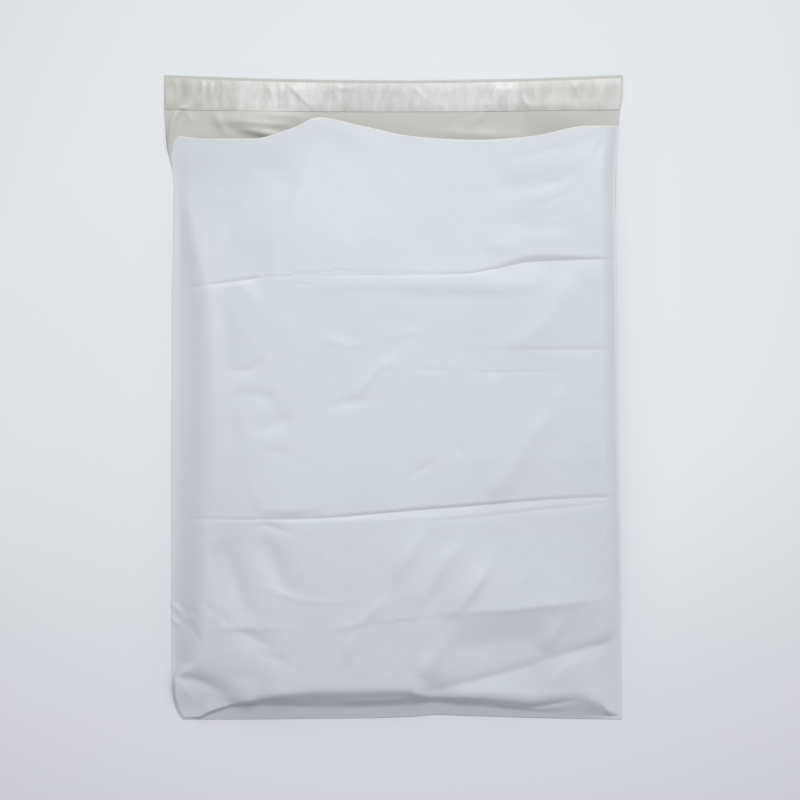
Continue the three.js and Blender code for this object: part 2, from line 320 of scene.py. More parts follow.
# Each fold is a path of (x, y, depth) in millimetres, a valley where the depth is above 0 and a
# ridge where it is below, then how far it reaches to the left and to the right of the way it
# runs, and how firm its line is. They go from the mouth, past the upper crease and the lower one,
# to the bottom and its corners. The two edge folds stand on the left weld.
MOUTH_FOLD_SHARE = 0.65
LOWER_FOLD_SHARE = 1.15
MOUTH_FOLDS = [
    ([(-176.5, 183, 0.3), (-172, 174, 1.2), (-166, 167.5, 1.0), (-158, 165, 0.2)], 2.5, 3.5, 1.4),
    ([(-62, 221, 0.8), (-67, 208, 1.8), (-74, 195, 2.0), (-84, 180, 1.2), (-94, 167, 0.2)], 46, 19, 1.5),
    ([(-114, 181, 0.4), (-101, 177, 3.2), (-90, 172, 3.8), (-82, 168.5, 2.2), (-76, 166.5, 0.2)],
     29, 30, 1.5),
    ([(-152, 101, 0.4), (-134, 100, 3.6), (-114, 99, 3.0), (-94, 99, 0.3)], 62, 26, 1.5),
    ([(-158, 160, -0.3), (-140, 160.5, -0.8), (-124, 159, -0.2)], 11, 5, 1.6),
    ([(-132, 146, 0.2), (-132, 133, 0.8), (-130, 116, 0.2)], 7, 12, 1.6),
    ([(-120, 118, 0.1), (-113, 111, 0.4), (-105, 105, 0.1)], 4, 4, 1.4),
    ([(166, 212, 0.1), (157, 207, 0.6), (148, 203, 0.7), (139, 197.5, 0.5), (131, 193, 0.1)], 3.4, 2, 1.2),
    ([(163, 204, 0.1), (154, 199, 0.4), (146, 195, 0.4), (139, 191, 0.1)], 3, 2, 1.2),
    ([(168, 191, 0.1), (172, 196, 0.6), (175, 200, 0.1)], 2, 3, 1.3),
    ([(72, 163, 0.2), (92, 167.5, 0.9), (112, 170.5, 1.0), (134, 175.5, 0.8), (150, 184, 0.2)], 9, 10, 1.5),
    ([(98, 163.5, 0.1), (117, 168, 0.5), (134, 173, 0.5), (148, 180, 0.1)], 1.5, 2.2, 1.2),
    ([(88, 190, 0.1), (108, 193, 0.4), (128, 198, 0.5), (146, 207, 0.1)], 2.0, 3.0, 1.3),
    ([(172, 206, 0.2), (165, 199, 0.9), (161, 190, 0.6), (158, 182, 0.1)], 1.6, 2.6, 1.3),
    ([(174, 190, 0.2), (170, 178, 0.7), (168, 165, 0.1)], 1.6, 2.4, 1.3),
    ([(110, 152, 0.1), (126, 157, 0.5), (142, 165, 0.4), (154, 175, 0.1)], 2.0, 3.0, 1.3),
    ([(76, 138, 0.2), (105, 139.5, 1.0), (128, 146, 0.9), (145, 156, 0.2)], 12, 10, 1.5),
    ([(104, 134, 0.1), (120, 136.5, 0.5), (134, 139, 0.1)], 1.5, 2.2, 1.2),
    ([(101, 132, 0.1), (129, 134, 0.5), (149, 138, 0.1)], 3, 4, 1.4),
    ([(69, 120.7, -0.1), (85, 120, -0.6), (101, 120, -0.1)], 6, 3, 1.4),
]
UPPER_FOLDS = [
    ([(-60, 91, -0.3), (1, 89.5, -0.8), (37, 88.5, -1.1), (69, 88, -1.1), (93, 88, -1.0),
      (109, 90, -0.8), (118, 94, -0.5), (124, 99, -0.1)], 16, 5.5, 1.7),
    ([(-74, 96.8, 0.1), (-20, 97.1, 0.3), (37, 97.6, 0.3), (61, 98.4, 0.3), (73, 100.7, 0.3),
      (85, 103, 0.1)], 1.2, 1.2, 1.3),
    ([(143, 96, -0.3), (133, 81.6, -1.4), (127, 70.4, -1.7), (122.5, 61.7, -1.7), (114, 54.5, -1.6),
      (102, 45.7, -1.2), (91.4, 38.5, -0.3)], 15, 9, 1.6),
    ([(-122, 88, -0.3), (-113, 81, -0.8), (-108, 73, -0.2)], 5, 5, 1.5),
    ([(-138, 88, 0.4), (-135, 60, 2.4), (-134, 30, 2.4), (-138, 2, 0.6)], 12, 15, 1.7),
    ([(-60, 49.7, -0.1), (-46.6, 45, -0.5), (-34.7, 41.7, -0.5), (-20, 43.3, -0.1)], 2.6, 3.5, 1.4),
    ([(-6.7, 46.5, -0.1), (9.2, 50.5, -0.5), (17, 52.9, -0.4), (22.8, 55.3, -0.1)], 2.6, 2.6, 1.4),
    ([(-33, 0.2, -0.2), (-25, 7.4, -0.7), (-17, 16.2, -0.9), (-9, 25, -0.9), (4.4, 30.1, -0.2)],
     3.5, 2.6, 1.3),
    ([(-60, -9.4, 0.1), (-46.6, -6.2, 0.6), (-34.7, -3.8, 0.7), (-9, -1.8, 0.2)], 2.6, 3, 1.3),
    ([(-132, 21, 0.2), (-122, 21, 0.8), (-114, 22, 0.9), (-108, 27, 0.8), (-102, 24, 0.2)], 4, 6, 1.4),
    ([(-132, -2, 0.2), (-122, 2, 0.8), (-108, 2, 0.9), (-98, -2, 0.8), (-90, -16, 0.2)], 5, 8, 1.4),
    ([(40, 37, 0.05), (77, 37, 0.12), (98, 37.8, 0.25), (133, 38, 0.4), (160, 38.2, 0.5),
      (174, 38.4, 0.2)], 1.6, 4, 1.2),
    ([(14, 21.4, 0.05), (30, 21.4, 0.2), (49, 21.2, 0.05)], 1.1, 1.6, 1.2),
    ([(60, 20, 0.05), (80, 19.9, 0.16), (110, 20, 0.15), (133, 19.8, 0.05)], 1.1, 1.6, 1.2),
    ([(70, 7.4, -0.1), (77, 11.5, -0.5), (85, 15.4, -0.1)], 3, 3, 1.4),
    ([(139, 10, -0.2), (130, -0.5, -0.8), (123, -10, -0.3)], 6, 10, 1.5),
    ([(130, -10, -0.5), (117, -22, -1.5), (107.5, -34, -1.9), (99.5, -48.5, -1.9), (91.5, -62, -1.8),
      (82.6, -72.5, -1.4), (75.5, -79.5, -0.4)], 10, 11, 1.6),
    ([(-114, -25, 0.2), (-100, -24, 0.9), (-88, -20, 0.9), (-82, -15, 0.2)], 7, 5, 1.5),
    ([(-130, -4, 0.2), (-128, -26, 0.8), (-128, -44, 0.2)], 5, 10, 1.5),
    ([(-103, -43, 0.1), (-92, -44, 0.6), (-80, -47, 0.2)], 3, 5, 1.4),
    ([(-113, -66, -0.2), (-109, -82, -0.6), (-104, -88, -0.3)], 3, 3, 1.4),
    ([(-118, -80, 0.1), (-108, -86, 0.5), (-103, -88, 0.2)], 3, 3, 1.4),
    ([(-105, -90.5, -0.6), (-82.5, -91, -1.1), (-60, -88.5, -0.4)], 14, 2.5, 1.5),
    ([(13, -63.6, 0.3), (21, -58.5, 0.8), (27, -54.5, 0.7), (31, -50.5, 0.2)], 2.2, 2.2, 1.3),
    ([(49, -36, 0.1), (53, -41, 0.4), (56, -48, 0.1)], 3, 3, 1.4),
    ([(152, -42, -0.1), (155, -36, -0.5), (158, -30, -0.1)], 3, 3, 1.4),
]
LOWER_FOLDS = [
    ([(5, -99.2, 0.1), (53, -96.4, 0.3), (89.8, -92.4, 0.4), (126.5, -88.4, 0.4), (170.4, -84.4, 0.3)],
     1.1, 2.5, 1.2),
    ([(-136, -112, 0.5), (-132, -130, 2.2), (-126, -148, 2.4), (-120, -166, 1.8), (-113, -182, 0.4)],
     11, 13, 1.6),
    ([(-108, -112, 0.4), (-99, -124, 1.7), (-93, -138, 2.0), (-86, -150, 1.3), (-72, -158, 0.3)],
     10, 12, 1.6),
    ([(-103, -150.5, -0.1), (-90.5, -156, -0.4), (-81, -159.5, -0.5), (-72, -161.8, -0.35),
      (-50, -163, -0.2), (-29, -163.4, -0.1)], 3, 2.6, 1.3),
    ([(-146, -118, 0.2), (-142, -134, 0.6), (-139, -154, 0.5), (-137, -165, 0.1)], 4, 8, 1.5),
    ([(-112, -104, 0.1), (-101, -102, 0.6), (-90, -106, 0.6), (-82, -108, 0.1)], 3, 4, 1.4),
    ([(25, -106, -0.4), (15.6, -120.3, -1.4), (7.6, -134, -1.3), (1.2, -146, -0.3)], 6, 8, 1.5),
    ([(51.5, -118, -0.6), (42, -130, -1.6), (34.8, -142, -1.7), (27.6, -154, -1.2), (17, -164, -0.3)],
     6, 7, 1.5),
    ([(15, -148, -0.4), (10, -157, -0.5), (4, -164, -0.1)], 3.5, 5, 1.4),
    ([(74.7, -134.7, -0.6), (67.5, -147.5, -1.9), (59.5, -159.5, -1.9), (50.7, -169, -0.8)], 4, 8, 1.5),
    ([(5, -175.3, -0.1), (37, -173, -0.3), (52.3, -170.8, -0.5), (89.8, -169.4, -0.7),
      (126.5, -165.4, -0.7), (163, -161.8, -0.3)], 8, 2.6, 1.2),
    ([(37, -174, -0.6), (63, -171, -3.2), (100, -168, -4.2), (140, -163, -3.4), (165, -160, -1.2)],
     46, 21, 1.7),
    ([(-6, -160, -0.2), (-14, -168, -0.9), (-24, -177, -1.0), (-33, -182, -0.7), (-47, -184, -0.2)],
     4, 5, 1.4),
    ([(-135, -184.5, -0.6), (-122, -184, -0.6), (-105, -184.5, -0.5), (-90, -185, -0.2)], 6, 2.6, 1.3),
    ([(-130, -185, 0.1), (-120, -188, 0.8), (-110, -193, 1.1), (-100, -197.5, 0.9), (-92, -202, 0.2)],
     5, 7, 1.4),
    ([(-112, -199, 0.1), (-102, -205, 0.6), (-90, -209, 0.6), (-80, -213, 0.1)], 4, 8, 1.4),
    ([(-26, -184, -0.4), (-34.7, -197.7, -1.0), (-40, -210, -0.2)], 4.5, 6, 1.5),
    ([(46.7, -176, -0.5), (41, -189.7, -1.3), (34.8, -203.3, -1.7), (25.2, -216, -1.5),
      (19.6, -223.2, -0.4)], 10, 6, 1.5),
    ([(37, -201.7, 0.3), (69, -197.7, 0.7), (101, -193.7, 0.7), (125, -184, 0.2)], 14, 12, 1.6),
    ([(134, -178, -0.8), (128.5, -188, -1.9), (124, -197, -1.6), (120, -204, -0.3)], 5, 14, 1.5),
    ([(26.8, -236, 0.5), (48, -229.8, 1.3), (71.5, -224.6, 1.6), (100.7, -216.6, 1.4), (110, -214, 1.2),
      (116, -211.6, 1.0), (130, -206.6, 1.1), (153.4, -200.5, 1.8), (172, -196, 2.2), (179, -193, 1.2)],
     4.4, 15, 1.2),
    ([(123.4, -233.6, -0.2), (130.5, -223.2, -0.6), (141, -214.4, -0.6), (153, -209.7, -0.2)], 6, 6, 1.4),
]
CORNER_FOLDS = [
    ([(-176, -162.6, 0.4), (-170.3, -167.4, 1.4), (-165.5, -171.4, 0.3)], 1.8, 2.5, 1.3),
    ([(-175, -176, 0.4), (-169.5, -181.7, 1.5), (-164, -181, 1.2), (-159, -189, 0.8), (-156, -194.5, 0.2)],
     2, 3, 1.3),
    ([(-166.3, -168.2, 0.2), (-160, -172, 0.7), (-156.7, -175.4, 0.2)], 2.2, 3, 1.3),
    ([(-172, -161.8, 0.2), (-165.5, -173, 0.9), (-162.3, -184.1, 0.2)], 1.8, 2.5, 1.3),
    ([(-173.5, -176.1, 0.3), (-167.1, -184.3, 1.0), (-162.3, -194.5, 0.8), (-160, -203.3, 0.2)],
     2, 2.6, 1.3),
    ([(-163.9, -179.3, 0.2), (-157.5, -188.9, 0.8), (-153.4, -198.7, 0.2)], 2, 3, 1.3),
    ([(-152, -161, 0.1), (-147, -168, 0.6), (-144, -176, 0.1)], 2, 3, 1.3),
    ([(-140, -172, 0.1), (-134, -178, 0.6), (-131, -186, 0.1)], 2.4, 3, 1.3),
    ([(-137, -219, 0.3), (-118.5, -224, 0.8), (-105, -227, 0.3)], 10, 7, 1.6),
    ([(-136.8, -239.2, -0.6), (-118.5, -240.8, -1.5), (-105, -237.6, -1.5), (-74.6, -234.4, -0.9),
      (-34.7, -234.4, -0.8), (5.2, -234.4, -0.7), (29.2, -236.8, -0.5), (69.1, -235.2, -0.9),
      (101, -237.6, -0.8), (121, -237.6, -0.2)], 13, 4, 1.5),
    ([(-180, -221.5, 4.4), (-171, -226, 6.4), (-159, -228, 6.6), (-147.2, -232, 6.0),
      (-139.5, -237, 5.0), (-134, -243, 4.4), (-128, -248, 3.4)], 10.5, 90, 1.5),
    ([(-171, -229, -0.5), (-166, -236, -0.8), (-161, -243, -0.2)], 2.5, 2.5, 1.4),
    ([(-178, -219, 0.2), (-171, -223.3, 0.8), (-159, -224.8, 0.8), (-148, -229, 0.6), (-141, -233, 0.2)],
     1.5, 4, 1.3),
    ([(104, -249.5, 0.5), (119, -247.5, 2.0), (133, -245, 2.0), (146, -243, 0.5)], 2.6, 1.8, 1.3),
    ([(-46, -243.5, -0.4), (-25, -243, -1.6), (-5, -242.4, -2.0), (12, -241, -0.6)], 2.2, 2.4, 1.5),
]
EDGE_FOLDS = [
    ([(-178.5, -166, -0.6), (-174.5, -170, -1.0), (-171, -173, -0.3)], 1.6, 1.8, 1.3),
    ([(-178.5, -178, -0.5), (-174, -181.5, -0.9), (-170, -183, -0.3)], 1.6, 1.8, 1.3),
]
BACK_FOLDS = [
    ([(-165.6, 233, -0.5), (-172, 231, -1.5), (-176.9, 223.5, -2.4), (-179.3, 211.4, -2.6),
      (-180.2, 199, -1.0)], 2.2, 2.6, 1.5),
    ([(-143.9, 230, -0.4), (-140.7, 222, -1.3), (-136.6, 214.6, -0.8)], 3, 3, 1.4),
    ([(-167.2, 229.2, -0.3), (-164, 225.2, -0.9), (-167.2, 221, -0.4)], 2, 2, 1.4),
    ([(-144, 221.5, -0.3), (-132, 221.5, -1.6), (-118, 220.5, -2.6), (-104, 219, -2.6),
      (-92, 218.6, -1.8), (-82, 219.5, -0.4)], 11, 2.2, 1.6),
    ([(-126, 216.5, -0.8), (-114, 214, -3.0), (-102, 211.5, -3.3), (-94, 210, -1.4)], 5, 2.4, 1.6),
    ([(74.6, 230, -0.5), (68, 223.5, -0.7), (60, 217, -0.2)], 2.4, 3, 1.4),
    ([(105, 230, -0.3), (113, 230, -1.6), (134, 230.5, -1.8), (152, 230.5, -0.7)], 24, 15, 1.7),
    ([(-120, 228, -0.3), (-95, 227, -0.8), (-70, 225, -0.3)], 3, 3, 1.5),
    ([(30, 214, -0.2), (70, 211, -0.8), (105, 210, -0.3)], 4, 4, 1.6),
]


def relief(x, y, folds):
    """Depth that a set of folds takes out of the film."""
    total = np.zeros(x.shape)
    for fold_path in folds:
        total += stroke_relief(x, y, *fold_path)
    return total


def slack_at(x, y, size, seed):
    """Small chance buckles of slack film, from -1 to 1."""
    spots = np.stack([x.ravel() / size, y.ravel() / size], axis=1)
    found = [noise.noise((spot[0], spot[1], seed)) for spot in spots]
    return np.array(found).reshape(x.shape)


def pull_lines(x, y):
    """Faint drag lines that run from the upper right to the lower left of the lower half."""
    across = 0.8 * x - 0.6 * y
    along = (0.6 * x + 0.8 * y) / 6
    strength = np.clip((-60 - y) / 80, 0, 1)
    return strength * slack_at(across, along, 9.0, 12.5)


def crease_cut(off_line, depth, north, south):
    """A crease along the panel: steep on its far side, easy on its near side, sharp at its bottom."""
    nearness = np.clip(1 - np.where(off_line > 0, off_line / north, -off_line / south), 0, 1)
    return depth * nearness**1.25


# Each storage crease has a depth, and a reach towards the flap (north) and the bottom (south).
LOWER_NORTH = 2.8
lower_depth_at = curve_through([(-1, 0.2), (-0.9, 0.3), (-0.6, 0.4), (-0.4, 0.6), (-0.2, 0.85), (0.0, 1.0),
                                (0.35, 1.0), (0.55, 0.8), (0.7, 0.65), (0.92, 0.6), (1, 0.3)])
lower_south_at = curve_through([(-1, 2.6), (-0.5, 2.8), (-0.2, 4), (0.2, 8.4), (0.5, 8.2), (0.7, 7),
                                (1, 5.4)])
upper_depth_at = curve_through([(-1, 0.2), (-0.9, 0.3), (-0.74, 0.8), (-0.64, 1.0), (-0.6, 0.15),
                                (-0.5, 0.22), (-0.2, 0.14), (0.2, 0.07), (0.35, 0.18), (0.45, 0.7),
                                (0.62, 1.8), (0.8, 1.3), (0.93, 0.7), (1, 0.3)])
upper_north_at = curve_through([(-1, 1.5), (-0.8, 2.2), (-0.72, 3.8), (-0.64, 3.8), (-0.6, 1.4), (0.3, 1.5),
                                (0.45, 3.0), (0.62, 5.8), (0.8, 3.6), (1, 1.8)])
upper_south_at = curve_through([(-1, 4), (-0.6, 4), (-0.4, 6.5), (0.3, 8), (0.6, 30), (0.85, 20), (1, 8)])


def side_rises(x, y):
    """Shares of its full height that the front panel has gained from the left and the right weld."""
    down = TOP_Y - y
    from_left = x - left_edge(y) - left_weld_at(down)
    from_right = right_edge(y) - right_weld_at(down) - x
    near_left = left_share_at(down)
    left_rise = near_left * soft_step(from_left / left_flank_at(down))
    left_rise += (1 - near_left) * quarter_sine(from_left / left_reach_at(down))
    right_rise = RIGHT_SHARE * quarter_sine(from_right / right_flank_at(down))
    right_rise += (1 - RIGHT_SHARE) * quarter_sine(from_right / RIGHT_REACH)
    return left_rise, right_rise


def crown_height(p, x, y):
    """Height of the panel clear of its sides and bottom: the lip's gap, then a flat dome."""
    crown = PLATEAU_HEIGHT + DOME_HEIGHT * (1 - p**2)
    crown = crown - LOW_CORNER * quarter_sine((x - 20) / 90) * quarter_sine((-50 - y) / 190)
    mouth_share = quarter_sine((lip_line(p) - y) / MOUTH_REACH) ** MOUTH_EASE
    return lip_gap_at(p) + (crown - lip_gap_at(p)) * mouth_share


# The sag above the bottom margin dies away upwards over SAG_REACH.
SAG_REACH = 19.0


def panel_dip(p, x, y):
    """Depth that creases, folds, small buckles and the sag at the bottom take out of the panel."""
    lower_line = -TOP_Y + lower_crease_at(p)
    upper_line = -TOP_Y + upper_crease_at(p)
    above_foot = np.maximum(y - fold_line(p) - bottom_margin_at(p), 0)
    dip = crease_cut(y - lower_line, lower_depth_at(p), LOWER_NORTH, lower_south_at(p))
    dip += crease_cut(y - upper_line, upper_depth_at(p), upper_north_at(p), upper_south_at(p))
    dip += MOUTH_FOLD_SHARE * relief(x, y, MOUTH_FOLDS) + relief(x, y, UPPER_FOLDS)
    dip += LOWER_FOLD_SHARE * relief(x, y, LOWER_FOLDS) + relief(x, y, CORNER_FOLDS)
    dip += 0.25 * slack_at(x, y, 24.0, 1.5) + 0.09 * slack_at(x, y, 9.0, 8.5) + 0.22 * pull_lines(x, y)
    dip += bottom_sag_at(p) * np.exp(-((above_foot / SAG_REACH) ** 2))
    return dip


# The bottom margin slopes up by HEM_SLOPE from the fold line. No dip brings the panel below
# LEAST_STAND, apart from its sides.
HEM_SLOPE = 0.42
LEAST_STAND = 0.4


def front_height(p, x, y):
    """Height of the front panel above the back one. The edge folds stand where it has none."""
    above_fold = y - fold_line(p)
    foot_rise = firm_rise((above_fold - bottom_margin_at(p)) / bottom_rise_at(p))
    hem = HEM_SLOPE * np.clip(above_fold, 0, bottom_margin_at(p))
    puffed = np.maximum(crown_height(p, x, y) - panel_dip(p, x, y), LEAST_STAND)
    stand = hem + (puffed - hem) * foot_rise
    left_rise, right_rise = side_rises(x, y)
    return stand * left_rise * right_rise + np.maximum(-relief(x, y, EDGE_FOLDS), 0) * foot_rise


# The back panel lies flat deep inside the bag, and its folds end under the release liner.
RIPPLES_REACH_IN = 20.0
BACK_FOLDS_END_Y = FLAP_ROOT_Y + 33.0
BACK_FOLDS_FADE = 20.0


def back_height(x, y, lip_y):
    """Height of the back panel's own ripples, which die away a little way inside the mouth."""
    shown = np.clip((y - lip_y + RIPPLES_REACH_IN) / RIPPLES_REACH_IN, 0, 1)
    ripples = 0.2 + 0.16 * slack_at(x, y, 18.0, 4.5) + 0.08 * slack_at(x, y, 6.0, 6.5)
    fold_share = np.clip((BACK_FOLDS_END_Y - y) / BACK_FOLDS_FADE, 0, 1)
    return np.maximum(ripples - relief(x, y, BACK_FOLDS) * fold_share, 0) * shown


front_place = np.broadcast_to(place, front_y.shape)
back_place = np.broadcast_to(place, back_y.shape)
front_z = 1.5 * FILM_THICKNESS + front_height(front_place, front_x, front_y)
back_z = 0.5 * FILM_THICKNESS + back_height(back_x, back_y, lip_line(back_place))
front_z[-1] = FILM_THICKNESS

sheet_x = np.vstack([front_x, back_x])
sheet_y = np.vstack([front_y, back_y])
sheet_z = np.vstack([front_z, back_z])
middle = len(place) // 2
steps_down = np.hypot(np.diff(sheet_y[:, middle]), np.diff(sheet_z[:, middle]))
unrolled_x = np.broadcast_to(place * HALF_WIDTH, sheet_x.shape)
unrolled_y = np.broadcast_to(np.concatenate([[0], np.cumsum(steps_down)])[:, None], sheet_x.shape)


def film_sheet(name, x, y, z, flat_x, flat_y, up_above=0.0, cut_and_highlight_rows=0):
    """A sheet of film through a grid of points, with its unrolled place as its UV.

    Its faces above the height up_above look up. Its first few rows, as many as the cut-row count says, take
    the third slot, the cut film's cream, which along the lip is partly a painted highlight.
    """
    rows, columns = x.shape
    sheet = bmesh.new()
    bmesh.ops.create_grid(sheet, x_segments=columns - 1, y_segments=rows - 1, size=1.0, calc_uvs=False)
    uv = sheet.loops.layers.uv.new("flat_film")
    ordered = sorted(sheet.verts, key=lambda v: (round(-v.co.y, 6), round(v.co.x, 6)))
    grid_place = {}
    for index, vertex in enumerate(ordered):
        r, c = divmod(index, columns)
        vertex.co = Vector((x[r, c], y[r, c], z[r, c])) * MM
        grid_place[vertex] = (r, c)
    bmesh.ops.recalc_face_normals(sheet, faces=sheet.faces)
    upper_faces = [face for face in sheet.faces if face.calc_center_median().z > up_above * MM]
    if sum(face.normal.z for face in upper_faces) < 0:
        bmesh.ops.reverse_faces(sheet, faces=sheet.faces)
    for face in sheet.faces:
        face.smooth = True
        if max(grid_place[vertex][0] for vertex in face.verts) <= cut_and_highlight_rows:
            face.material_index = 2
        for loop in face.loops:
            place_in_grid = grid_place[loop.vert]
            loop[uv].uv = (flat_x[place_in_grid] * MM, flat_y[place_in_grid] * MM)
    mesh = bpy.data.meshes.new(name)
    sheet.to_mesh(mesh)
    sheet.free()
    piece = bpy.data.objects.new(name, mesh)
    bpy.context.scene.collection.objects.link(piece)
    return piece


# The first two rows along the lip take the cut film's cream: partly the cut edge's own colour, partly a
# painted highlight on the lip.
bag = film_sheet("bag_film", sheet_x, sheet_y, sheet_z, unrolled_x, unrolled_y, up_above=5.0, cut_and_highlight_rows=2)
wall = bag.modifiers.new("film_thickness", "SOLIDIFY")
wall.thickness = FILM_THICKNESS * MM
wall.offset = 0.0
wall.material_offset = 1
wall.material_offset_rim = 2


# Painted shade: the white film's colour keeps its full tone within the near distance of one place left of
# the middle, and beyond the far distance it is darkened to its far shade, a painted falloff of the light.
# The grey film and the cut edges keep one tone.
PAINTED_SHADE_CENTRE = (-0.045, 0.05, 0.0)
PAINTED_SHADE_NEAR = 0.08
PAINTED_SHADE_FAR = 0.28


def film_material(name, colour, roughness, painted_far_shade):
    """Satin polyethylene film: a faint mottle in its colour, painted shade that darkens it away from one
    place, and a fine crinkle in its face.
    """
    material = bpy.data.materials.new(name)
    material.use_nodes = True
    nodes = material.node_tree.nodes
    links = material.node_tree.links
    shader = nodes["Principled BSDF"]
    shader.inputs["Roughness"].default_value = roughness
    shader.inputs["IOR"].default_value = 1.5
    coordinates = nodes.new("ShaderNodeTexCoord")
    cloud = nodes.new("ShaderNodeTexNoise")
    cloud.inputs["Scale"].default_value = 22.0
    cloud.inputs["Detail"].default_value = 3.0
    links.new(coordinates.outputs["Object"], cloud.inputs["Vector"])
    tint = nodes.new("ShaderNodeMix")
    tint.data_type = "RGBA"
    tint.inputs["A"].default_value = (*[c * 0.985 for c in colour], 1)
    tint.inputs["B"].default_value = (*[min(c * 1.015, 1) for c in colour], 1)
    links.new(cloud.outputs["Fac"], tint.inputs["Factor"])
    reach = nodes.new("ShaderNodeVectorMath")
    reach.operation = "DISTANCE"
    reach.inputs[1].default_value = PAINTED_SHADE_CENTRE
    links.new(coordinates.outputs["Object"], reach.inputs[0])
    fade = nodes.new("ShaderNodeMapRange")
    fade.inputs["From Min"].default_value = PAINTED_SHADE_NEAR
    fade.inputs["From Max"].default_value = PAINTED_SHADE_FAR
    fade.inputs["To Min"].default_value = 1.0
    fade.inputs["To Max"].default_value = painted_far_shade
    links.new(reach.outputs["Value"], fade.inputs["Value"])
    shade = nodes.new("ShaderNodeVectorMath")
    shade.operation = "SCALE"
    links.new(tint.outputs["Result"], shade.inputs[0])
    links.new(fade.outputs["Result"], shade.inputs["Scale"])
    links.new(shade.outputs["Vector"], shader.inputs["Base Color"])
    crinkle = nodes.new("ShaderNodeTexNoise")
    crinkle.inputs["Scale"].default_value = 190.0
    crinkle.inputs["Detail"].default_value = 4.0
    links.new(coordinates.outputs["Object"], crinkle.inputs["Vector"])
    bump = nodes.new("ShaderNodeBump")
    bump.inputs["Strength"].default_value = 0.25
    bump.inputs["Distance"].default_value = 0.00025
    links.new(crinkle.outputs["Fac"], bump.inputs["Height"])
    links.new(bump.outputs["Normal"], shader.inputs["Normal"])
    return material


# The last number is the painted far shade, which darkens each film's colour away from one place; only the
# white film's is below 1.
bag.data.materials.append(film_material("white_film", (0.71, 0.738, 0.785), 0.54, 0.915))
bag.data.materials.append(film_material("grey_film", (0.558, 0.546, 0.526), 0.5, 1.0))
# The cream colours the cut edges and a thin band on the lip's top face: partly the edge's own colour, partly
# a painted highlight.
bag.data.materials.append(film_material("cut_edge_and_painted_highlight", (0.8, 0.77, 0.7), 0.5, 1.0))

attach(bag, "root")
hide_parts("bag")


# The band of hot-melt glue runs across the flap on its grey face. It is a clear soft layer that
# stays under the release liner until the bag is closed, so it is drawn as the liner's outline,
# set in by GLUE_INSET all round.
GLUE_THICKNESS = 0.2
GLUE_INSET = 2.8
LINER_SETBACK = 2.2
LINER_WIDTH = 25.6
LINER_SIDE_INSET = 0.8
LINER_LOWER_BOW = -2.7


def strip_grid(across_count, along_count, inset):
    """A strip's points across the flap, bowed as the flap's edge is: x, y and the place across.

    They crowd together at the strip's ends and edges, which keeps those crisp.
    """
    across = np.concatenate([[-1, -0.9993], np.linspace(-0.994, 0.994, across_count - 4), [0.9993, 1]])
    upper = flap_end(across) - LINER_SETBACK - inset
    lower = flap_end(across) - LINER_SETBACK - LINER_WIDTH - LINER_LOWER_BOW * (1 - across**2) + inset
    down = np.concatenate([[0, 0.005], np.linspace(0.03, 0.97, along_count - 4), [0.995, 1]])[:, None]
    y = upper + (lower - upper) * down
    left = left_edge(y) + LINER_SIDE_INSET + inset
    right = right_edge(y) - LINER_SIDE_INSET - inset
    x = left + (right - left) * (across + 1) / 2
    return x, y, np.broadcast_to(across, y.shape)


def flap_height(x, y):
    """Top of the back panel's film out on the flap, well clear of the mouth."""
    return FILM_THICKNESS + back_height(x, y, np.full(x.shape, FLAP_ROOT_Y - 40))


glue_x, glue_y = strip_grid(180, 12, GLUE_INSET)[:2]
glue_z = flap_height(glue_x, glue_y) + GLUE_THICKNESS / 2
glue = film_sheet("glue_band", glue_x, glue_y, glue_z, glue_x, glue_y)
glue_wall = glue.modifiers.new("glue_depth", "SOLIDIFY")
glue_wall.thickness = GLUE_THICKNESS * MM
glue_wall.offset = 0.0
glue_material = bpy.data.materials.new("clear_glue")
glue_material.use_nodes = True
glue_shader = glue_material.node_tree.nodes["Principled BSDF"]
glue_shader.inputs["Base Color"].default_value = (0.62, 0.61, 0.57, 1)
glue_shader.inputs["Roughness"].default_value = 0.25
glue.data.materials.append(glue_material)
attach(glue, "root")
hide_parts("adhesive_strip")


